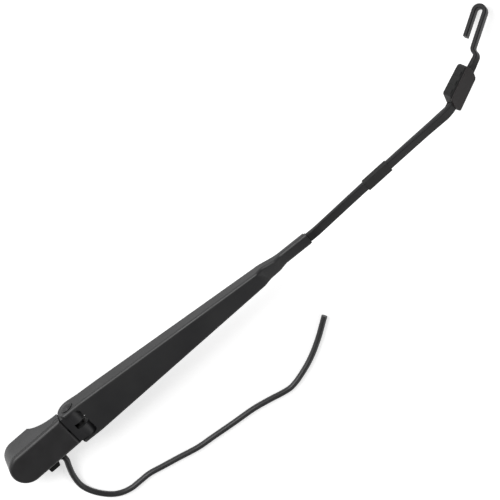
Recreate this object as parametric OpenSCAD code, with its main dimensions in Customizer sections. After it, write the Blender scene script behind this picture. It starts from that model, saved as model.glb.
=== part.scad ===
// Windscreen wiper arm of a heavy vehicle, with its washer hose and nozzle block.
// The spindle axis is Z, the seat of the head is z = 0 and the arm points along +X.
// Arm pieces are drawn about the hinge pin and then tilted up by arm_rise.

/* [Head] */
// Width of the cast head and its round end
head_w = 33.5; // [32:0.5:38]
// Height of the top of the cap above the seat
head_h = 30.5; // [29:0.5:34]
// Radius of the cap's top edge
cap_edge_r = 3.8; // [2.5:0.1:4]
// Wall of the plastic cap
cap_wall = 1.8; // [1.4:0.1:2.2]
// Depth of the cap's rim below its top
cap_rim = 4.2; // [4:0.1:5]
// Distance from the hinge pin back to the shoulder of the head
shoulder_gap = 12.2; // [11.6:0.1:14]
// Height of the head's underside at the shoulder
neck_z = 16.4; // [14:0.2:17]
// Width of the knuckle between the ears of the channel
knuckle_w = 30.6; // [28:0.2:31]
// Radius of the knuckle about the hinge pin
knuckle_r = 8.5; // [8:0.1:8.8]

/* [Spindle seat] */
// Diameter of the counterbore round the spindle
seat_d = 19; // [18:0.5:22]
// Depth of that counterbore
seat_depth = 5; // [4:0.5:7]
// Wide diameter of the knurled taper
taper_d = 16; // [14:0.5:17]
// Narrow diameter of the knurled taper
taper_end_d = 13.5; // [12:0.5:13.8]
// Height at which the taper ends
taper_top = 17; // [15:0.5:18]
// Diameter of the hole for the spindle's stud
stud_d = 10.6; // [8:0.2:12]
// Height of the face that the nut sits on
nut_seat_z = 20; // [19:0.5:21]
// Diameter of the pocket round the nut
nut_pocket_d = 26; // [24:0.5:28]

/* [Hinge] */
// Distance from the spindle axis to the hinge pin
pin_x = 65; // [63:0.5:80]
// Height of the hinge pin above the seat
pin_z = 24.5; // [24:0.1:25.5]
// Diameter of the hinge pin
pin_d = 7; // [6:0.1:7.4]
// Outer diameter of the bushes
bush_d = 10; // [9:0.1:11]
// Diameter of the bush flanges
flange_d = 13; // [12:0.5:14]
// Thickness of the bush flanges
flange_t = 1.8; // [1.2:0.1:1.9]
// Diameter of the pin that the spring link hangs on
link_pin_d = 4.4; // [4:0.1:4.8]
// Distance of the link pin behind the hinge pin
link_back = 5; // [4.8:0.1:5.4]
// Distance of the link pin below the hinge pin
link_drop = 7.5; // [7.4:0.1:8]
// Width of the slot through the knuckle
slot_w = 6; // [5.8:0.1:6.6]
// Tilt of the arm above the level of the head
arm_rise = 4.64; // [4.6:0.02:5.2]

/* [Channel] */
// Thickness of the channel's sheet steel
sheet = 1.5; // [1.4:0.05:1.6]
// Outer radius of the channel's folds
fold_r = 2.75; // [2.5:0.05:3.2]
// Gap between each bush flange and the ear beside it
ear_gap = 0.4; // [0.3:0.1:0.8]
// Radius of the ears about the hinge pin
ear_r = 10.5; // [10:0.1:11]
// Height of the crown above the hinge pin
crown_z = 9; // [8.8:0.1:9.6]
// Depth of the side walls below the hinge pin
wall_drop = 8.3; // [7.5:0.1:9]
// Distance from the hinge pin to the end of the crown
crown_x = 215.5; // [200:0.5:230]
// Width from the middle to the near wall at the crown's end
crown_near = 9.6; // [9:0.1:11]
// Width from the middle to the far wall at the crown's end
crown_far = 7.2; // [6.6:0.1:8]
// Distance from the hinge pin to the crown's rear edge
crown_gap = 9.5; // [9:0.1:11]
// Width of the folds that run back over the ears
strip_w = 3.5; // [3:0.1:4]
// Length of each of the two slopes between crown and sleeve
slope_len = 8; // [6:0.5:10]
// Length of the flat step between the slopes
flat_len = 12; // [10:0.5:16]
// Length of the sleeve round the bar
sleeve_len = 30; // [24:0.5:40]

/* [Bar] */
// Width of the flat bar
bar_w = 9; // [8:0.1:9.4]
// Thickness of the flat bar
bar_t = 4; // [3.5:0.1:4.4]
// Radius of the bar's long edges
bar_edge = 1; // [0.5:0.1:1.2]
// Distance from the hinge pin to the bar's inner end
bar_start = 125.6; // [125.6:0.1:130]
// Length of bar from its inner end to the first bend
bar_straight = 151; // [149:0.5:170]
// Length of bar from the first bend to the sideways bend
bar_run = 152; // [140:0.5:170]
// Length of the sideways bend
side_bend = 16; // [14:0.5:22]
// Length of bar through the nozzle block
block_run = 44; // [42:0.5:50]
// Length of the hook's long leg
hook_leg = 33; // [28:0.5:40]
// Distance between the middles of the hook's two legs
hook_gap = 10.3; // [10:0.1:12]
// Length of the hook's short leg
hook_tail = 26; // [20:0.5:30]

/* [Spring] */
// Diameter of the spring wire
wire_d = 2.4; // [2:0.1:2.5]
// Outer diameter of the spring
spring_d = 10; // [9.6:0.1:10.2]
// Number of turns of the spring
spring_turns = 34; // [28:1:36]
// Thickness of the link's strip steel
link_t = 3; // [2.6:0.1:3.2]
// Width of the link
link_w = 5.4; // [5:0.1:5.6]

/* [Washer parts] */
// Diameter of the loose washer hose
hose_d = 5.8; // [5:0.1:6]
// Diameter of the hose under the arm
arm_hose_d = 4.4; // [4:0.1:4.6]
// Length of the clip on the bar
clip_len = 28; // [22:0.5:32]
// Wall of the clip
clip_wall = 0.7; // [0.6:0.1:1]
// Length of the nozzle block
block_len = 39; // [38:0.5:40]
// Width of the nozzle block on the near side of the bar
block_near = 14; // [13:0.1:15]
// Width of the nozzle block on the far side of the bar
block_far = 7.6; // [7.4:0.1:8.4]
// Height of the nozzle block
block_h = 10.2; // [10:0.1:11]

/* [Hidden] */
$fn = 48;
// Clearances
run_fit = 0.05;
seat_fit = 0.15;
free_fit = 0.3;
hose_fit = 0.3;
clip_fit = 0.15;
// Overrun of cuts
over = 1;
// Finishes
black = "#2a2a2b";
dark = "#222223";
steel = "#9a9a98";
rubber = "#303032";
smoke = "#2e2a28";

// Head
shoulder_x = pin_x - shoulder_gap;
rim_z = head_h - cap_rim;
cap_barrel_r = 3.4;
cap_axis_x = shoulder_x - cap_barrel_r;
cap_axis_z = head_h - cap_barrel_r;
cap_lug_w = 6;
cap_pin_d = 2.4;
cap_pin_len = 24;
link_pin_x = pin_x - link_back;
link_pin_z = pin_z - link_drop;
cheek_r = 5;
cheek_w = 7;
eye_wall = 2.4;

// Channel
near_ear = knuckle_w / 2 + flange_t + ear_gap + sheet;
bar_z = -1.15;
bar_top = bar_z + bar_t / 2;
sleeve_half = bar_w / 2 + run_fit + sheet;
sleeve_top = bar_top + run_fit + sheet;
sleeve_low = bar_z - bar_t / 2;
slope_1_end = crown_x + slope_len;
flat_end = slope_1_end + flat_len;
sleeve_x = flat_end + slope_len;
sleeve_end = sleeve_x + sleeve_len;
step_z = (crown_z + sleeve_top) / 2;
ear_flat = 12;
lobe_end = 15;
drop_end = 37;
corner_r = 5;

function mix(a, b, t) = a + (b - a) * max(0, min(1, t));
function ease(t) = (1 - cos(180 * max(0, min(1, t)))) / 2;

// Walls, crown and lower edge of the channel at a distance x from the pin
function near_y(x) = x < crown_x
    ? mix(near_ear, crown_near, (x - ear_flat) / (crown_x - ear_flat))
    : mix(crown_near, sleeve_half, ease((x - crown_x) / (sleeve_x - crown_x)));
function far_y(x) = x < crown_x
    ? mix(near_ear, crown_far, (x - ear_flat) / (crown_x - ear_flat))
    : mix(crown_far, sleeve_half, ease((x - crown_x) / (sleeve_x - crown_x)));
function top_z(x) = x < flat_end
    ? mix(crown_z, step_z, (x - crown_x) / slope_len)
    : mix(step_z, sleeve_top, (x - flat_end) / slope_len);
function low_z(x) = x < 0 ? -ear_r - over
    : x < drop_end ? mix(-ear_r + 0.05, -wall_drop, ease(x / lobe_end))
    : mix(-wall_drop, sleeve_low, (x - drop_end) / (crown_x - drop_end));

// Lofts and sweeps: rings of points joined by triangles, with a flat end at each side.
// A folded section's end is a strip of triangles between its outer and its inner line.
function end_faces(m, folded) = folded
    ? [for (k = [0:m / 2 - 2]) each [[k, k + 1, m - 2 - k], [k, m - 2 - k, m - 1 - k]]]
    : [[for (j = [0:m - 1]) j]];
function reversed(v) = [for (i = [len(v) - 1:-1:0]) v[i]];
function loft_faces(n, m, folded) = concat(
    [for (f = end_faces(m, folded)) reversed(f)],
    [for (i = [0:n - 2], j = [0:m - 1])
        [i * m + j, i * m + (j + 1) % m, (i + 1) * m + (j + 1) % m]],
    [for (i = [0:n - 2], j = [0:m - 1])
        [i * m + j, (i + 1) * m + (j + 1) % m, (i + 1) * m + j]],
    [for (f = end_faces(m, folded)) [for (k = f) (n - 1) * m + k]]);
module loft(rings, folded = false)
    polyhedron([for (ring = rings) each ring],
        loft_faces(len(rings), len(rings[0]), folded), convexity = 6);

function arc_pts(cy, cz, r, a, b, n) =
    [for (i = [0:n]) [cy + r * cos(a + (b - a) * i / n), cz + r * sin(a + (b - a) * i / n)]];

// Section of the channel across the arm, from the near wall's edge over the crown and back
function channel_outline(x) =
    let (yn = near_y(x), yf = -far_y(x), zt = top_z(x), zl = low_z(x), r = fold_r)
    let (ri = r - sheet)
    concat([[yn, zl]],
        arc_pts(yn - r, zt - r, r, 0, 90, 5),
        arc_pts(yf + r, zt - r, r, 90, 180, 5),
        [[yf, zl], [yf + sheet, zl]],
        arc_pts(yf + r, zt - r, ri, 180, 90, 5),
        arc_pts(yn - r, zt - r, ri, 90, 0, 5),
        [[yn - sheet, zl]]);
function channel_ring(x) = [for (p = channel_outline(x)) [x, p[0], p[1]]];
channel_stations = concat(
    [-ear_r - over],
    [for (i = [0:5]) lobe_end * i / 5],
    [drop_end],
    [for (i = [0:4]) crown_x + slope_len * i / 4],
    [for (i = [1:4]) slope_1_end + flat_len * i / 4],
    [for (i = [1:4]) flat_end + slope_len * i / 4],
    [sleeve_end]);

// Bar: each row is a stretch of bar with its length and the angles at its end, which are
// sideways turn, downward turn, roll and fold, and its extra width there
bar_rows = [
    [bar_straight, 0, 0, 0, 0, 0],
    [12, 0, 9.3, 2, 0, 0],
    [bar_run * 0.85, 0, 6, 17, 0, 0],
    [bar_run * 0.15, 0, 5.5, 20, 0, 1.4],
    [side_bend, 21.9, 14.3, 22, 0, 0],
    [block_run - 9, 21.9, 14.3, 22, 0, 0],
    [9, 21.9, 14.3, 33, 0, 0],
    [6, 24, 18.6, 38, 68, 0],
    [6, 26.2, 22.9, 46, 0, 0],
    [hook_leg, 26.2, 22.9, 46, 0, 0],
    [hook_gap * PI / 2, 26.2, 22.9, 46, 180, 0],
    [hook_tail, 26.2, 22.9, 46, 180, 0]];
row_parts = [1, 5, 10, 3, 6, 1, 3, 6, 6, 1, 12, 1];
row_start = [0, 0, 0, 0, 0, 0];
function about_z(a) = [[cos(a), -sin(a), 0], [sin(a), cos(a), 0], [0, 0, 1]];
function about_y(a) = [[cos(a), 0, sin(a)], [0, 1, 0], [-sin(a), 0, cos(a)]];
function about_x(a) = [[1, 0, 0], [0, cos(a), -sin(a)], [0, sin(a), cos(a)]];
function turned(v) = about_z(v[1]) * about_y(v[2]) * about_x(v[3]) * about_y(v[4]);
function row_at(i) = i < 0 ? row_start : bar_rows[i];
// Short stretches: length, values halfway and values at the end
bar_bits = [for (i = [0:len(bar_rows) - 1], k = [1:row_parts[i]])
    let (a = row_at(i - 1), b = row_at(i), n = row_parts[i])
    [b[0] / n, a + (b - a) * (k - 0.5) / n, a + (b - a) * k / n]];
bar_points = [for (i = 0, p = [bar_start, 0, bar_z]; i <= len(bar_bits);
    p = p + (i < len(bar_bits) ? turned(bar_bits[i][1]) * [bar_bits[i][0], 0, 0] : [0, 0, 0]),
    i = i + 1) p];
bar_values = concat([row_start], [for (b = bar_bits) b[2]]);
function along(i) = i == 0 ? 0 : along(i - 1) + bar_bits[i - 1][0];
bar_lengths = [for (i = [0:len(bar_bits)]) along(i)];
function bar_index(s) = max([for (i = [0:len(bar_lengths) - 2]) bar_lengths[i] <= s ? i : 0]);
function bar_share(s) = let (i = bar_index(s))
    (s - bar_lengths[i]) / (bar_lengths[i + 1] - bar_lengths[i]);
function bar_point(s) = let (i = bar_index(s))
    bar_points[i] + (bar_points[i + 1] - bar_points[i]) * bar_share(s);
function bar_value(s) = let (i = bar_index(s))
    bar_values[i] + (bar_values[i + 1] - bar_values[i]) * bar_share(s);
function corner(y, z, a) = [for (i = [0:2])
    [y + bar_edge * cos(a + 45 * i), z + bar_edge * sin(a + 45 * i)]];
function bar_outline(extra) =
    let (y = bar_w / 2 + extra / 2 - bar_edge, z = bar_t / 2 - bar_edge)
    concat(corner(y, z, 0), corner(-y, z, 90), corner(-y, -z, 180), corner(y, -z, 270));
function bar_ring(i) = let (m = turned(bar_values[i]))
    [for (p = bar_outline(bar_values[i][5])) bar_points[i] + m * [0, p[0], p[1]]];

// Places along the bar
bend_s = bar_straight + 12 + bar_run;
block_s = bend_s + side_bend;
block_back = 5.5;
clip_s = bar_straight + 12 + bar_run * 0.46;

// Link and spring, in a frame on the link pin whose X axis points along the spring
spring_to = [bar_start + 1.9, bar_z];
spring_reach = [pin_x + spring_to[0] * cos(arm_rise) - spring_to[1] * sin(arm_rise) - link_pin_x,
    pin_z + spring_to[0] * sin(arm_rise) + spring_to[1] * cos(arm_rise) - link_pin_z];
link_turn = atan2(spring_reach[1], spring_reach[0]);
spring_len = norm(spring_reach);
arc_mid = [9.3, -3.4];
arc_in = 5.1;
eye_r = link_pin_d / 2 + eye_wall;
tongue_end = 30;
loop_1_r = 4;
loop_1_x = tongue_end - 0.4;
loop_2_r = 5.2;
coil_r = (spring_d - wire_d) / 2;
coil_from = loop_1_x + 3.5;
coil_to = spring_len - loop_2_r - 0.2;
coil_parts = 10;

// Route of the loose hose on the table, from the connector to its cut end
hose_route = [[28, -25.1, 12], [28, -28, 12], [27.4, -31, 11.7], [24.5, -38, 10], [20.5, -50, 6.8],
    [18.5, -65, 4], [22, -79, 3], [30, -92, 3], [39, -100, 3], [50, -104, 3], [61, -104.5, 3],
    [73, -105, 3], [87, -108.5, 3], [103, -112.5, 3], [124, -118, 3], [141, -120, 3],
    [165, -123, 3], [188, -125.5, 3], [206, -129.5, 3], [221, -133.5, 3], [231, -134.5, 3],
    [245, -131, 3], [262, -124, 3], [280, -113, 3], [299, -98.5, 3]];

module head_plan(grow = 0) {
    circle(r = head_w / 2 + grow);
    translate([0, -head_w / 2 - grow])
        square([shoulder_x, head_w + 2 * grow]);
}

// Side view of the slot in the knuckle, about the link pin: it clears the link in each pose
slot_side = [[-eye_r - 0.4, -head_h], [-eye_r - 0.4, 3], [-2, 6.4], [0.4, 17],
    [0.4, head_h], [3 * shoulder_gap, head_h], [3 * shoulder_gap, -head_h]];

// Side view of the casting: deep boss at the spindle, underside rising to the shoulder
boss_x = head_w / 2 + 3.5;
function underside(x) = let (t = (x - boss_x) / (shoulder_x - boss_x))
    neck_z * sin(90 * pow(t, 0.77));
head_side = concat([[-head_w, 0]],
    [for (i = [0:12]) let (x = boss_x + (shoulder_x - boss_x) * i / 12) [x, underside(x)]],
    [[shoulder_x + over, neck_z], [shoulder_x + over, rim_z - seat_fit],
     [-head_w, rim_z - seat_fit]]);

module across(w) rotate([90, 0, 0]) linear_extrude(w, center = true) children();
module pin_y(r, y0, y1) translate([0, y1, 0]) rotate([90, 0, 0]) cylinder(r = r, h = y1 - y0);

module knuckle() {
    translate([pin_x, 0, pin_z])
        pin_y(knuckle_r, -knuckle_w / 2, knuckle_w / 2);
    across(knuckle_w) polygon([
        [shoulder_x - over, neck_z], [pin_x, neck_z], [pin_x, pin_z + knuckle_r],
        [shoulder_x + 3, head_h - 0.5], [shoulder_x + free_fit, head_h - over],
        [shoulder_x + free_fit, rim_z - 3], [shoulder_x - over, rim_z - 3]]);
    for (side = [-1, 1])
        translate([link_pin_x, side * (slot_w / 2 + cheek_w / 2), link_pin_z])
            pin_y(cheek_r, -cheek_w / 2, cheek_w / 2);
}

module arm_head() color(black)
    difference() {
        union() {
            intersection() {
                linear_extrude(head_h) head_plan();
                across(2 * head_w) polygon(head_side);
            }
            knuckle();
        }
        // Spindle seat, knurled taper, stud hole and nut pocket
        translate([0, 0, -over]) cylinder(d = seat_d, h = seat_depth + over);
        translate([0, 0, seat_depth - 0.01])
            cylinder(d1 = taper_d, d2 = taper_end_d, h = taper_top - seat_depth + 0.01);
        translate([0, 0, taper_top - over]) cylinder(d = stud_d, h = head_h);
        translate([0, 0, nut_seat_z]) cylinder(d = nut_pocket_d, h = head_h);
        // Trough for the cap's hinge, with a lug left in the middle
        difference() {
            translate([cap_axis_x, 0, cap_axis_z])
                pin_y(cap_barrel_r + free_fit, -head_w, head_w);
            cap_lug(0, cap_lug_w);
        }
        translate([cap_axis_x, 0, cap_axis_z])
            pin_y(cap_pin_d / 2 + run_fit, -cap_lug_w, cap_lug_w);
        // Slot and holes for the link, its pin and the bushes
        translate([link_pin_x, 0, link_pin_z]) across(slot_w) polygon(slot_side);
        translate([pin_x, 0, pin_z]) pin_y(bush_d / 2, -head_w, head_w);
        translate([link_pin_x, 0, link_pin_z]) pin_y(link_pin_d / 2, -head_w, head_w);
    }

// Lug in the middle of the casting that the cap's pin runs through
module cap_lug(grow, w) {
    r = cap_pin_d / 2 + 1.2 + grow;
    translate([cap_axis_x, 0, cap_axis_z]) pin_y(r, -w / 2, w / 2);
    translate([cap_axis_x - r, -w / 2, cap_axis_z - 2 * cap_barrel_r])
        cube([2 * r, w, 2 * cap_barrel_r]);
}

// Outer or inner form of the cap: a round end, straight sides and rounded top edges
module cap_half(r, edge, top, base) {
    difference() {
        translate([0, -base]) square([r, top + base]);
        translate([r - edge, top - edge]) square(edge + over);
    }
    translate([r - edge, top - edge])
        intersection() {
            circle(edge);
            square(edge);
        }
}
module cap_form(inset, front, base) {
    r = head_w / 2 - inset;
    edge = cap_edge_r - inset;
    top = cap_rim - inset;
    rotate([0, 0, 90]) rotate_extrude(angle = 180) cap_half(r, edge, top, base);
    rotate([90, 0, 90]) linear_extrude(front) {
        cap_half(r, edge, top, base);
        mirror([1, 0]) cap_half(r, edge, top, base);
    }
}
module head_cap() color(dark)
    difference() {
        union() {
            translate([0, 0, rim_z]) cap_form(0, cap_axis_x, 0);
            intersection() {
                translate([cap_axis_x, 0, cap_axis_z])
                    pin_y(cap_barrel_r, -head_w / 2, head_w / 2);
                translate([0, 0, rim_z]) cap_form(0, shoulder_x, 2 * cap_barrel_r);
            }
        }
        translate([0, 0, rim_z])
            cap_form(cap_wall, cap_axis_x - cap_barrel_r - cap_wall, over);
        // Room for the lug, also while the cap swings up
        gap = cap_lug_w + 2 * free_fit;
        cap_lug(free_fit, gap);
        translate([cap_axis_x - cap_barrel_r - over, -gap / 2, cap_axis_z - 2 * cap_barrel_r])
            cube([3 * cap_barrel_r, gap, 2 * cap_barrel_r]);
        translate([cap_axis_x, -gap / 2, cap_axis_z - over])
            cube([2 * cap_barrel_r, gap, cap_pin_d + over]);
        translate([cap_axis_x, 0, cap_axis_z])
            pin_y(cap_pin_d / 2 + run_fit, -cap_pin_len / 2, cap_pin_len / 2);
    }
module cap_pin() color(steel)
    translate([cap_axis_x, 0, cap_axis_z])
        pin_y(cap_pin_d / 2, -cap_pin_len / 2 + run_fit, cap_pin_len / 2 - run_fit);

// Flanged bush in one side of the knuckle
module bush() color(smoke)
    translate([pin_x, 0, pin_z])
        difference() {
            union() {
                pin_y(bush_d / 2 - run_fit, slot_w / 2 + free_fit, knuckle_w / 2 + over);
                pin_y(flange_d / 2, knuckle_w / 2, knuckle_w / 2 + flange_t);
            }
            pin_y(pin_d / 2 + run_fit, 0, head_w);
        }
module bush_near() bush();
module bush_far() mirror([0, 1, 0]) bush();
module link_pin() color(steel)
    translate([link_pin_x, 0, link_pin_z])
        pin_y(link_pin_d / 2 - run_fit, -slot_w / 2 - cheek_w, slot_w / 2 + cheek_w);

// Arm pieces: drawn about the hinge pin, then tilted
module arm_frame() translate([pin_x, 0, pin_z]) rotate([0, -arm_rise, 0]) children();

// Gap in the crown over the knuckle, with rounded inner corners
module crown_cut() {
    half = near_ear - strip_w;
    translate([-2 * ear_r, -half]) square([2 * ear_r + crown_gap - corner_r, 2 * half]);
    translate([-2 * ear_r, -half + corner_r])
        square([2 * ear_r + crown_gap, 2 * (half - corner_r)]);
    for (side = [-1, 1])
        translate([crown_gap - corner_r, side * (half - corner_r)]) circle(corner_r);
}
module channel() color(black) arm_frame()
    difference() {
        loft([for (x = channel_stations) channel_ring(x)], true);
        // Ears rounded about the pin
        difference() {
            translate([-2 * ear_r, -2 * near_ear, -2 * ear_r])
                cube([2 * ear_r, 4 * near_ear, 4 * ear_r]);
            pin_y(ear_r, -3 * near_ear, 3 * near_ear);
        }
        translate([0, 0, crown_z - 2 * sheet]) linear_extrude(3 * sheet) crown_cut();
        pin_y(pin_d / 2 + run_fit, -2 * near_ear, 2 * near_ear);
        // Notched corners of the sleeve's end
        for (side = [-1, 1])
            translate([sleeve_end - 1.5, side * sleeve_half - 1, sleeve_low - over])
                cube([3, 2, 3 * ear_r]);
    }

// Rivet that the channel turns on, with a formed head at each side
rivet_head_h = 1.8;
washer_t = 1;
module rivet_head(r, h) {
    // Dome of height h over a flat face of radius r, towards +Y
    ball = (r * r + h * h) / (2 * h);
    rotate([-90, 0, 0]) rotate_extrude()
        intersection() {
            translate([0, h - ball]) circle(ball);
            square([r, h]);
        }
}
module hinge_pin() color(black) arm_frame() {
    pin_y(pin_d / 2, -near_ear - 0.2, near_ear + washer_t + 0.2);
    translate([0, near_ear + washer_t, 0]) rivet_head(5.2, rivet_head_h);
    translate([0, -near_ear, 0]) mirror([0, 1, 0]) rivet_head(5, rivet_head_h);
}
module pin_washer() color(black) arm_frame()
    difference() {
        pin_y(6.4, near_ear, near_ear + washer_t);
        pin_y(pin_d / 2 + run_fit, 0, 2 * near_ear);
    }

// Flat bar with the slot that the spring hooks into
module arm_bar() color(black) arm_frame()
    difference() {
        loft([for (i = [0:len(bar_points) - 1]) bar_ring(i)]);
        translate([0, 0, bar_z - bar_t])
            linear_extrude(2 * bar_t) {
                translate([bar_start + 2.2 + 1.6, 0]) circle(1.6);
                translate([bar_start + 2.2 + 1.6, -1.6]) square([4, 3.2]);
                translate([bar_start + 2.2 + 5.6, 0]) circle(1.6);
            }
    }

// Frame on the link pin, with X towards the spring's far end
module link_frame() translate([link_pin_x, 0, link_pin_z])
    rotate([0, -link_turn, 0]) children();

// Strip-steel link: open hook round its pin, curve under the hinge pin, holed tongue
module spring_link() color(steel) link_frame()
    difference() {
        across(link_w) {
            circle(eye_r);
            translate(arc_mid)
                difference() {
                    union() {
                        circle(arc_in + link_t);
                        translate([-arc_in - link_t, 0])
                            square([2 * (arc_in + link_t), link_t / 2 - arc_mid[1]]);
                    }
                    circle(arc_in);
                    translate([-arc_in, 0]) square([2 * arc_in, 20]);
                }
            translate([arc_mid[0] + arc_in, -link_t / 2])
                square([tongue_end - arc_mid[0] - arc_in, link_t]);
        }
        pin_y(link_pin_d / 2 + run_fit, -link_w, link_w);
        // Hole for the spring's loop
        translate([loop_1_x - loop_1_r + 0.1, 0, -2 * link_t])
            cylinder(r = 1.65, h = 4 * link_t);
        // Mouth of the hook
        rotate([0, 35, 0]) translate([-2 * eye_r, -link_w, -0.9]) cube([2 * eye_r, 2 * link_w, 1.8]);
    }

// Each point of the wire comes with the direction outwards from its loop or coil
function loop_pt(x, r, a) = let (out = [cos(a), 0, sin(a)]) [[x, 0, 0] + r * out, out];
function coil_pt(i) =
    let (a = 90 - 360 * i / coil_parts, out = [0, cos(a), sin(a)])
    [[coil_from + (coil_to - coil_from) * i / (spring_turns * coil_parts), 0, 0] + coil_r * out,
        out];
wire_path = concat(
    [for (a = [20:-30:-270]) loop_pt(loop_1_x, loop_1_r, a)],
    [[[loop_1_x + 1.9, 0.7, coil_r], [0, 0, 1]]],
    [for (i = [1:spring_turns * coil_parts - 1]) coil_pt(i)],
    [[[spring_len - 1.9, -0.7, coil_r + 0.4], [0, 0, 1]]],
    [for (a = [90:-30:-190]) loop_pt(spring_len, loop_2_r, a)]);
function wire_ring(i) =
    let (n = len(wire_path) - 1, p = wire_path[i][0], out = wire_path[i][1])
    let (t = unit(wire_path[min(n, i + 1)][0] - wire_path[max(0, i - 1)][0]))
    let (s = unit(out - (out * t) * t), u = cross(t, s))
    [for (k = [0:5]) p + wire_d / 2 * (cos(60 * k) * s + sin(60 * k) * u)];
module spring() color(steel) link_frame()
    loft([for (i = [0:len(wire_path) - 1]) wire_ring(i)]);

// Tubes: a smooth path through hand-chosen points, then a ring at each of its points
function blend_pt(a, b, c, d, t) = 0.5 * (2 * b + (c - a) * t
    + (2 * a - 5 * b + 4 * c - d) * t * t + (3 * b - a - 3 * c + d) * t * t * t);
function smooth_path(p, n) = concat(
    [for (i = [0:len(p) - 2], k = [0:n - 1])
        blend_pt(p[max(0, i - 1)], p[i], p[i + 1], p[min(len(p) - 1, i + 2)], k / n)],
    [p[len(p) - 1]]);
function unit(v) = v / norm(v);
function tube_ring(path, i, r, sides) =
    let (t = unit(path[min(len(path) - 1, i + 1)] - path[max(0, i - 1)]))
    let (s = unit(cross([0, 0, 1], t)), u = cross(t, s))
    [for (k = [0:sides - 1]) path[i] + r * (cos(360 * k / sides) * s + sin(360 * k / sides) * u)];
module tube(path, r, sides = 10)
    loft([for (i = [0:len(path) - 1]) tube_ring(path, i, r, sides)]);

// Connector on the far side of the head, where the loose hose starts
conn_x = 11.5;
conn_len = 11;
conn_w = 7.6;
conn_z = 12;
conn_h = 10;
spigot_x = 28;
spigot_y = -25;
module hose_connector() color(dark)
    difference() {
        union() {
            translate([conn_x, -head_w / 2 - conn_w, conn_z]) cube([conn_len, conn_w, conn_h]);
            translate([conn_x + conn_len - over, -head_w / 2 - 5, 8])
                cube([spigot_x + 3.5 - conn_x - conn_len + over, 5, 8]);
            translate([spigot_x, 0, conn_z]) pin_y(hose_d / 2 + 0.7, spigot_y, -head_w / 2);
        }
        // Sloped outer corners of the block
        for (end = [0, 1])
            translate([conn_x + end * conn_len, -head_w / 2 - conn_w, 0])
                rotate([0, 0, 45]) cube([1.2, 1.2, 6 * conn_h], center = true);
    }
module washer_hose() color(rubber) tube(smooth_path(hose_route, 2), hose_d / 2);

// Hose under the arm: from the head under the knuckle, along the channel's far wall,
// under the bar and into the nozzle block
function to_arm(p) = let (x = p[0] - pin_x, z = p[2] - pin_z)
    [x * cos(arm_rise) + z * sin(arm_rise), p[1], z * cos(arm_rise) - x * sin(arm_rise)];
hose_below = -bar_t / 2 - hose_fit - arm_hose_d / 2;
ferrule_len = 2;
ferrule_drop = 0.8;
function under_bar(s) = bar_point(s) + turned(bar_value(s)) * [0, 0, hose_below];
function block_point(p) = bar_point(block_s) + turned(bar_value(block_s)) * p;
wall_hose = arm_hose_d / 2 + 1.3;
function by_wall(x) = [x, -far_y(x) + sheet + wall_hose, 2];
clip_places = [45, 85];
arm_hose_route = concat(
    [for (p = [[31.8, -19.5, 10.4], [34.5, -19.5, 10.2], [38.5, -17.6, 8.4], [46, -14.4, 9.4],
        [55, -13.6, 11], [65, -13.6, 11.5]]) to_arm(p)],
    [[14, -13, -10], [26, by_wall(26)[1], -4]],
    [for (x = [36, 41, 49, 62, 81, 89, 98]) by_wall(x)],
    [[112, -8.5, -2], [bar_start + 10, -5, -6.2]],
    [for (s = [30:30:bar_straight - 20]) under_bar(s)],
    [under_bar(bar_straight - 1), under_bar(bar_straight + 13)],
    [for (s = [bar_straight + 38:28:bend_s - 14]) under_bar(s)],
    [under_bar(bend_s) - [0, 0, 0.6],
        block_point([-block_back - ferrule_len - 0.2, 0, hose_below - ferrule_drop])]);
module arm_hose() color(rubber) arm_frame()
    tube(smooth_path(arm_hose_route, 2), arm_hose_d / 2, 8);

// Clip that holds the hose to the channel's far wall
module channel_clip(x) color(smoke) arm_frame()
    translate(by_wall(x)) rotate([0, 0, atan2(far_y(x) - far_y(x + 1), 1)])
        rotate([90, 0, 90]) linear_extrude(8, center = true)
            difference() {
                union() {
                    circle(arm_hose_d / 2 + 1);
                    translate([-wall_hose + run_fit, -3.3]) square([wall_hose, 6.6]);
                }
                circle(arm_hose_d / 2 + run_fit);
            }
module channel_clip_1() channel_clip(clip_places[0]);
module channel_clip_2() channel_clip(clip_places[1]);

// Frame on the bar at a distance s from its inner end
module on_bar(s) arm_frame() translate(bar_point(s))
    rotate([bar_value(s)[3], bar_value(s)[2], bar_value(s)[1]]) children();

module on_block() on_bar(block_s) translate([-block_back, 0, 0]) children();

// Clip round the bar and the hose
module hose_clip() color(dark) on_bar(clip_s)
    rotate([90, 0, 90]) linear_extrude(clip_len, center = true) clip_outline();
module clip_outline() {
    w = bar_w + 2 * clip_fit;
    t = bar_t + 2 * clip_fit;
    difference() {
        union() {
            translate([-w / 2 - clip_wall, -t / 2 - clip_wall])
                square([w + 2 * clip_wall, t + 2 * clip_wall]);
            translate([0, hose_below]) circle(arm_hose_d / 2 + 0.15 + clip_wall);
            translate([-w / 2 - clip_wall - 0.6, -t / 2 - clip_wall]) square([2, 1.6]);
        }
        translate([-w / 2, -t / 2]) square([w, t]);
        translate([0, hose_below]) circle(arm_hose_d / 2 + 0.15);
        translate([-arm_hose_d / 2 + 0.4, hose_below]) square([arm_hose_d - 0.8, -hose_below]);
        translate([-1.4, hose_below - arm_hose_d]) square([2.8, arm_hose_d]);
    }
}

// Nozzle block: a body round the bar and a smooth cover on top of it
cover_t = 2.4;
cover_z = bar_t / 2 + 0.4;
body_low = cover_z + cover_t - block_h;
cover_near = block_near - 3.4;
jet_r = 2;
jet_len = 2.5;
jet_z = body_low + 2.7;
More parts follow.
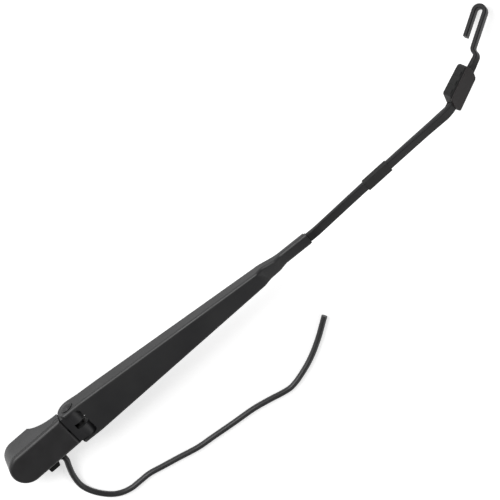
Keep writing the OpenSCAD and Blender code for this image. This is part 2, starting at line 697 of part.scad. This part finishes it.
// Outline in the plane of the bar: sloped rear end, near side longer towards the hook
module block_plan() {
    n = block_near;
    f = block_far;
    polygon([[1, -f], [block_len - 7, 0.6 - f], [block_len - 5, 1.8 - f], [block_len - 1.4, 0],
        [block_len, 7], [block_len - 0.2, n - 3.4], [block_len - 2, n - 1.4],
        [block_len - 5, n - 1], [8.8, n], [7.4, n - 0.8], [1.6, 3], [0, 2 - f]]);
}
module nozzle_body() color(dark) on_block()
    difference() {
        union() {
            translate([0, 0, body_low]) linear_extrude(cover_z - body_low) block_plan();
            // Near shoulder beside the cover
            translate([0, 0, cover_z - over]) linear_extrude(cover_t + over - 0.8)
                intersection() {
                    block_plan();
                    translate([0, cover_near + free_fit]) square([block_len, block_near]);
                }
            // Three ribs on the near shoulder
            for (i = [0:2])
                translate([10 + 9 * i, block_near - 1.8, body_low + 1])
                    cube([4, 2.5 - 0.3 * i, block_h - 2.2]);
            // Ferrule that the hose enters
            translate([-ferrule_len, 0, hose_below - ferrule_drop]) rotate([0, 90, 0])
                cylinder(r = arm_hose_d / 2 + 0.1, h = 6);
        }
        // Room for the bar, which is let in from above and closed in by the cover
        translate([-over, -bar_w / 2 - free_fit, -bar_t / 2 - free_fit])
            cube([block_len + 2 * over, bar_w + 2 * free_fit, bar_t + 2 * over]);
        translate([-over, -bar_w / 2 - over, -bar_t / 2 - 0.6])
            cube([8, bar_w + 2 * over, bar_t + 2 * over]);
        for (x = [10, 24])
            translate([x, -block_far - over, jet_z]) rotate([-90, 0, 0])
                cylinder(r = jet_r + run_fit, h = jet_len - 0.55 + over);
    }
module nozzle_cover() color(smoke) on_block()
    translate([0, 0, cover_z + run_fit])
        linear_extrude(cover_t - run_fit)
            intersection() {
                block_plan();
                translate([0, -block_far]) square([block_len, block_far + cover_near]);
            }
module nozzle_jet(x) color(steel) on_block()
    translate([x, -block_far - 0.6, jet_z]) rotate([-90, 0, 0])
        cylinder(r = jet_r, h = jet_len);
module nozzle_jet_1() nozzle_jet(10);
module nozzle_jet_2() nozzle_jet(24);

arm_head();
head_cap();
cap_pin();
bush_near();
bush_far();
link_pin();
hose_connector();
washer_hose();
channel();
hinge_pin();
pin_washer();
arm_bar();
spring_link();
spring();
arm_hose();
channel_clip_1();
channel_clip_2();
hose_clip();
nozzle_body();
nozzle_cover();
nozzle_jet_1();
nozzle_jet_2();
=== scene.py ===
import math
import bmesh
import bpy
from mathutils import Matrix, Vector


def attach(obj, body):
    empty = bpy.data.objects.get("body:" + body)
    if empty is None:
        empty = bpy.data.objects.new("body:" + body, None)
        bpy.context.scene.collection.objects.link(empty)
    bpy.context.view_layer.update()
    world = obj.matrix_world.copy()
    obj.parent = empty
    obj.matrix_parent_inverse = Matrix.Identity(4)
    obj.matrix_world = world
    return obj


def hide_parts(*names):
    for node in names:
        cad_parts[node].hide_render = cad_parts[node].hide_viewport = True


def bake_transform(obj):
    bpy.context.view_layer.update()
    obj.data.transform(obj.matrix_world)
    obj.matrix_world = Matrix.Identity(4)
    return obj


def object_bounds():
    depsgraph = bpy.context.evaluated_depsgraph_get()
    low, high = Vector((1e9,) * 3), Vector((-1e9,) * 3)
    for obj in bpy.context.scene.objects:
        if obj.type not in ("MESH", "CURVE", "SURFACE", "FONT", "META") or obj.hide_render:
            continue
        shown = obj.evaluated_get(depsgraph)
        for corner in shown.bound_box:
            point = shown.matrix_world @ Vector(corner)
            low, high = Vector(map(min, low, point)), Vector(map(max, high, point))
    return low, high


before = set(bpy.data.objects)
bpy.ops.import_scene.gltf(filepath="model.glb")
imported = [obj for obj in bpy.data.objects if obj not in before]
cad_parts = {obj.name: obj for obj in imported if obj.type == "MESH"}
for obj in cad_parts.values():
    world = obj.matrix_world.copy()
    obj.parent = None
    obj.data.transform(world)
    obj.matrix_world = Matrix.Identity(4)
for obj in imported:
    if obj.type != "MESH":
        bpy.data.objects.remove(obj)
cad_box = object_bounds()
scene = bpy.context.scene


# Camera
# It looks down on the arm from its near side, with the arm rising to the upper right.
# Its place, axes and lens belong to a square picture.
camera_place = Vector((0.37715, 0.93439, 1.78901))
to_camera = Vector((0.0441, 0.4602, 0.8867)).normalized()
picture_right = Vector((0.757, -0.5945, 0.2709)).normalized()
picture_up = to_camera.cross(picture_right).normalized()
picture_right = picture_up.cross(to_camera)
sensor_mm = 36
lens_mm = 155.52
nearest_seen = 0.05
farthest_seen = 20
camera = bpy.data.objects.new("camera", bpy.data.cameras.new("camera"))
camera.data.sensor_width = sensor_mm
camera.data.lens = lens_mm
camera.data.clip_start = nearest_seen
camera.data.clip_end = farthest_seen
camera.matrix_world = Matrix((
    (picture_right.x, picture_up.x, to_camera.x, camera_place.x),
    (picture_right.y, picture_up.y, to_camera.y, camera_place.y),
    (picture_right.z, picture_up.z, to_camera.z, camera_place.z),
    (0, 0, 0, 1)))
scene.collection.objects.link(camera)
scene.camera = camera


# Loose washer hose
# A thin-walled rubber hose pushed onto the connector of the head. It drops to the table,
# turns and runs along beside the arm to its cut end, as one free curve.
hose_diameter = 0.0058
hose_route_mm = [
    (28, -25.1, 12), (28, -28, 12), (27.4, -31, 11.7), (24.5, -38, 10), (20.5, -50, 6.8),
    (18.5, -65, 4), (22, -79, 3), (30, -92, 3), (39, -100, 3), (50, -104, 3), (61, -104.5, 3),
    (73, -105, 3), (87, -108.5, 3), (103, -112.5, 3), (124, -118, 3), (141, -120, 3),
    (165, -123, 3), (188, -125.5, 3), (206, -129.5, 3), (221, -133.5, 3), (231, -134.5, 3),
    (245, -131, 3), (262, -124, 3), (280, -113, 3), (299, -98.5, 3)]
mm_in_metre = 1000
steps_between_points = 8
quarter_round_steps = 5


def smooth_line(points, steps):
    """Points on a smooth line through the given ones, with so many steps between each two."""
    line = []
    for i in range(len(points) - 1):
        a, b = points[max(0, i - 1)], points[i]
        c, d = points[i + 1], points[min(len(points) - 1, i + 2)]
        for k in range(steps):
            t = k / steps
            line.append((2 * b + (c - a) * t + (2 * a - 5 * b + 4 * c - d) * t ** 2
                         + (3 * b - a - 3 * c + d) * t ** 3) / 2)
    line.append(points[-1])
    return line


def round_curve(name, line, radius, bevel_steps):
    """A curve object along the line, with capped ends and a round section of that radius."""
    curve = bpy.data.curves.new(name, "CURVE")
    curve.dimensions = "3D"
    spline = curve.splines.new("POLY")
    spline.points.add(len(line) - 1)
    for point, place in zip(spline.points, line):
        point.co = (*place, 1)
    curve.bevel_depth = radius
    curve.bevel_resolution = bevel_steps
    curve.use_fill_caps = True
    spline.use_smooth = True
    piece = bpy.data.objects.new(name, curve)
    scene.collection.objects.link(piece)
    return piece


def grained(name, dark, pale, roughness, patch, grain, depth, metallic=0.0, specular=0.5):
    """A finish with cloudy patches of two colours and of gloss, over a fine grain.
    Patch and grain are the sizes of the spots in metres, and depth is how high the grain is."""
    dark_below, pale_above = 0.32, 0.7
    glossy_below, dull_above = 0.3, 0.7
    gloss_change = 0.05
    cloud_detail, grain_detail = 4, 3
    grain_strength = 0.6

    material = bpy.data.materials.new(name)
    material.use_nodes = True
    tree = material.node_tree
    shader = tree.nodes["Principled BSDF"]
    shader.inputs["Metallic"].default_value = metallic
    shader.inputs["Specular IOR Level"].default_value = specular
    place = tree.nodes.new("ShaderNodeTexCoord")
    cloud = tree.nodes.new("ShaderNodeTexNoise")
    cloud.inputs["Scale"].default_value = 1 / patch
    cloud.inputs["Detail"].default_value = cloud_detail
    tint = tree.nodes.new("ShaderNodeValToRGB")
    tint.color_ramp.elements[0].position = dark_below
    tint.color_ramp.elements[0].color = (*dark, 1)
    tint.color_ramp.elements[1].position = pale_above
    tint.color_ramp.elements[1].color = (*pale, 1)
    gloss = tree.nodes.new("ShaderNodeMapRange")
    gloss.inputs["From Min"].default_value = glossy_below
    gloss.inputs["From Max"].default_value = dull_above
    gloss.inputs["To Min"].default_value = roughness - gloss_change
    gloss.inputs["To Max"].default_value = roughness + gloss_change
    speck = tree.nodes.new("ShaderNodeTexNoise")
    speck.inputs["Scale"].default_value = 1 / grain
    speck.inputs["Detail"].default_value = grain_detail
    bump = tree.nodes.new("ShaderNodeBump")
    bump.inputs["Strength"].default_value = grain_strength
    bump.inputs["Distance"].default_value = depth
    links = tree.links
    links.new(place.outputs["Object"], cloud.inputs["Vector"])
    links.new(place.outputs["Object"], speck.inputs["Vector"])
    links.new(cloud.outputs["Fac"], tint.inputs["Fac"])
    links.new(cloud.outputs["Fac"], gloss.inputs["Value"])
    links.new(speck.outputs["Fac"], bump.inputs["Height"])
    links.new(tint.outputs["Color"], shader.inputs["Base Color"])
    links.new(gloss.outputs["Result"], shader.inputs["Roughness"])
    links.new(bump.outputs["Normal"], shader.inputs["Normal"])
    return material


hose_rubber = grained(
    "hose rubber", dark=(0.012, 0.012, 0.013), pale=(0.018, 0.018, 0.019), roughness=0.45,
    patch=0.012, grain=0.0006, depth=0.00003)
hose_points = [Vector(point) / mm_in_metre for point in hose_route_mm]
hose_line = smooth_line(hose_points, steps_between_points)
loose_hose = round_curve("loose_hose", hose_line, hose_diameter / 2, quarter_round_steps)
loose_hose.data.materials.append(hose_rubber)
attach(loose_hose, "head")
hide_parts("washer_hose")


# Cast head
# A die-cast lever that clamps on the wiper spindle, with a knuckle for the hinge pin at its
# other end. It is blasted and painted satin black, so its edges are soft and its skin is fine
# grained.
def eased(node, body, edge, material, crease=30):
    """A finished copy of a CAD node, which rides on its body in place of the node. Edges that
    turn by more than the crease, in degrees, are rounded by the width given in metres, and
    the rest is shaded smooth."""
    same_point = 1e-6
    flat_within = 0.6
    rounding_steps = 2
    rounded_shape = 0.5
    still_smooth = 12

    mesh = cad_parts[node].data.copy()
    mesh.name = node + "_finished"
    work = bmesh.new()
    work.from_mesh(mesh)
    bmesh.ops.remove_doubles(work, verts=work.verts, dist=same_point)
    bmesh.ops.dissolve_limit(work, angle_limit=math.radians(flat_within), verts=work.verts,
                             edges=work.edges)
    if edge:
        sharp = [e for e in work.edges
                 if e.is_manifold and e.calc_face_angle(0) > math.radians(crease)]
        bmesh.ops.bevel(work, geom=sharp, offset=edge, offset_type="OFFSET",
                        segments=rounding_steps, profile=rounded_shape, affect="EDGES",
                        clamp_overlap=True)
    for face in work.faces:
        face.smooth = True
    work.to_mesh(mesh)
    work.free()
    mesh.set_sharp_from_angle(angle=math.radians(crease + still_smooth))
    mesh.materials.clear()
    mesh.materials.append(material)
    piece = bpy.data.objects.new(node + "_finished", mesh)
    scene.collection.objects.link(piece)
    even = piece.modifiers.new("even shading", "WEIGHTED_NORMAL")
    even.keep_sharp = True
    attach(piece, body)
    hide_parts(node)
    return piece


cast_paint = grained(
    "cast head paint", dark=(0.008, 0.008, 0.009), pale=(0.013, 0.013, 0.014), roughness=0.46,
    patch=0.02, grain=0.0009, depth=0.00005)
eased("arm_head", "head", edge=0.0005, material=cast_paint)


# Cap of the spindle nut
# A moulded plastic lid with rounded top edges, hinged on a steel pin at the shoulder of the
# head. Its finish is finer grained and a shade duller than the paint.
cap_plastic = grained(
    "cap plastic", dark=(0.008, 0.0075, 0.008), pale=(0.012, 0.0115, 0.0125), roughness=0.5,
    patch=0.016, grain=0.0005, depth=0.00002)
pin_steel = grained(
    "zinc-plated steel", dark=(0.22, 0.22, 0.23), pale=(0.34, 0.34, 0.34), roughness=0.36,
    patch=0.003, grain=0.0004, depth=0.00001, metallic=1.0)
eased("head_cap", "cap", edge=0.0004, material=cap_plastic)
eased("cap_pin", "cap", edge=0.0002, material=pin_steel)


# Hinge
# Two flanged bushes of filled nylon sit in the knuckle, and a rivet through both ears turns
# in them. Its heads are formed cold and painted with the channel, a washer under one of them.
bush_nylon = grained(
    "bush nylon", dark=(0.03, 0.029, 0.027), pale=(0.045, 0.043, 0.04), roughness=0.5,
    patch=0.004, grain=0.0004, depth=0.00001)
sheet_paint = grained(
    "channel paint", dark=(0.008, 0.008, 0.009), pale=(0.012, 0.012, 0.0125), roughness=0.48,
    patch=0.035, grain=0.0012, depth=0.00006)
for bush in ("bush_near", "bush_far"):
    eased(bush, "head", edge=0.0002, material=bush_nylon)
eased("link_pin", "head", edge=0.0002, material=pin_steel)
eased("hinge_pin", "arm", edge=0.0003, material=sheet_paint)
eased("pin_washer", "arm", edge=0.0002, material=sheet_paint)


# Channel
# One blank of sheet steel, pressed to a U with rounded ears, stepped down and crimped round
# the bar at its far end. It is dipped in satin black paint after forming.
eased("channel", "arm", edge=0.00035, material=sheet_paint)


# Flat bar
# A spring-steel flat with rounded edges, twisted, bent sideways ahead of the nozzle block and
# folded back at its end into the hook that takes the blade.
bar_paint = grained(
    "bar paint", dark=(0.006, 0.006, 0.007), pale=(0.010, 0.010, 0.0105), roughness=0.5,
    patch=0.03, grain=0.0012, depth=0.00006, specular=0.28)
eased("arm_bar", "arm", edge=0, material=bar_paint, crease=40)


# Spring and link
# A close-wound tension spring pulls the arm onto the glass. A strip-steel link joins it to
# the pin below the hinge, and its far loop stands in the slot of the bar.
spring_steel = grained(
    "oiled spring steel", dark=(0.05, 0.05, 0.052), pale=(0.1, 0.1, 0.1), roughness=0.38,
    patch=0.004, grain=0.0006, depth=0.00001, metallic=1.0)
eased("spring_link", "link", edge=0.00025, material=spring_steel)
eased("spring", "link", edge=0, material=spring_steel, crease=80)


# Hose under the arm
# A thinner rubber hose from the connector, under the knuckle, through two clips on the
# channel's far wall and on below the bar.
end_face_angle = 70
arm_hose = bpy.data.objects.new("under_hose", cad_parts["arm_hose"].data.copy())
for face in arm_hose.data.polygons:
    face.use_smooth = True
arm_hose.data.set_sharp_from_angle(angle=math.radians(end_face_angle))
arm_hose.data.materials.clear()
arm_hose.data.materials.append(hose_rubber)
scene.collection.objects.link(arm_hose)
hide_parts("arm_hose")
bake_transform(arm_hose)


# Hose fittings
# The connector at the head, the clips in the channel and the clip round bar and hose are
# moulded in black nylon with a fine matte grain.
fitting_nylon = grained(
    "fitting nylon", dark=(0.005, 0.005, 0.005), pale=(0.009, 0.009, 0.009), roughness=0.5,
    patch=0.01, grain=0.0004, depth=0.00003, specular=0.25)
eased("hose_connector", "head", edge=0.0004, material=fitting_nylon)
for clip in ("channel_clip_1", "channel_clip_2", "hose_clip"):
    eased(clip, "arm", edge=0.0002, material=fitting_nylon)


# Nozzle block
# A ribbed nylon body is pushed up round the bar and closed by a smooth snap-on cover. Two
# plated jets in its far side spray the glass.
cover_plastic = grained(
    "cover plastic", dark=(0.011, 0.0085, 0.0085), pale=(0.015, 0.0115, 0.0115),
    roughness=0.42, patch=0.014, grain=0.0005, depth=0.00001, specular=0.32)
eased("nozzle_body", "arm", edge=0.0005, material=fitting_nylon)
eased("nozzle_cover", "arm", edge=0.0006, material=cover_plastic)
for jet in ("nozzle_jet_1", "nozzle_jet_2"):
    eased(jet, "arm", edge=0.0003, material=pin_steel)


# Floor
# A plain pale table. It renders white where no shadow falls on it, also in reflections.
floor_reach = 4.0
floor_below_part = 0.0002
table_pale = (0.82, 0.82, 0.82, 1)
table_roughness = 0.9
table_specular = 0.1
table_glow = (1, 1, 1, 1)
table_glow_strength = 0.5
floor = bpy.data.objects.new("floor", bpy.data.meshes.new("floor"))
floor.data.from_pydata(
    [(-floor_reach, -floor_reach, 0), (floor_reach, -floor_reach, 0),
     (floor_reach, floor_reach, 0), (-floor_reach, floor_reach, 0)], [], [(0, 1, 2, 3)])
floor.location.z = min(0.0, cad_box[0][2]) - floor_below_part
scene.collection.objects.link(floor)
table_white = bpy.data.materials.new("table")
table_white.use_nodes = True
table_nodes = table_white.node_tree
table_shader = table_nodes.nodes["Principled BSDF"]
table_shader.inputs["Base Color"].default_value = table_pale
table_shader.inputs["Roughness"].default_value = table_roughness
table_shader.inputs["Specular IOR Level"].default_value = table_specular
table_shader.inputs["Emission Color"].default_value = table_glow
light_path = table_nodes.nodes.new("ShaderNodeLightPath")
seen = table_nodes.nodes.new("ShaderNodeMath")
seen.operation = "MAXIMUM"
lift = table_nodes.nodes.new("ShaderNodeMath")
lift.operation = "MULTIPLY"
lift.inputs[1].default_value = table_glow_strength
table_nodes.links.new(light_path.outputs["Is Camera Ray"], seen.inputs[0])
table_nodes.links.new(light_path.outputs["Is Glossy Ray"], seen.inputs[1])
table_nodes.links.new(seen.outputs["Value"], lift.inputs[0])
table_nodes.links.new(lift.outputs["Value"], table_shader.inputs["Emission Strength"])
floor.data.materials.append(table_white)


# Studio light
# A broad soft box high on the near side, a weak one on the far side and an even grey room.
def soft_box(name, place, aim, width, power):
    """A square lamp of that width in metres and power in watts, turned to its aim."""
    lamp = bpy.data.objects.new(name, bpy.data.lights.new(name, "AREA"))
    lamp.data.shape = "SQUARE"
    lamp.data.size = width
    lamp.data.energy = power
    lamp.location = place
    lamp.rotation_euler = (Vector(aim) - Vector(place)).to_track_quat("-Z", "Y").to_euler()
    scene.collection.objects.link(lamp)


arm_middle = (0.29, 0, 0.02)
soft_box("near soft box", place=(-0.3, 1.7, 1.2), aim=arm_middle, width=1.4, power=50)
soft_box("far soft box", place=(0.9, -1.6, 1.3), aim=arm_middle, width=1.2, power=12)
room_grey = (0.9, 0.9, 0.9, 1)
room_strength = 0.29
room = bpy.data.worlds.new("room")
room.use_nodes = True
room.node_tree.nodes["Background"].inputs["Color"].default_value = room_grey
room.node_tree.nodes["Background"].inputs["Strength"].default_value = room_strength
scene.world = room
scene.view_settings.view_transform = "Standard"
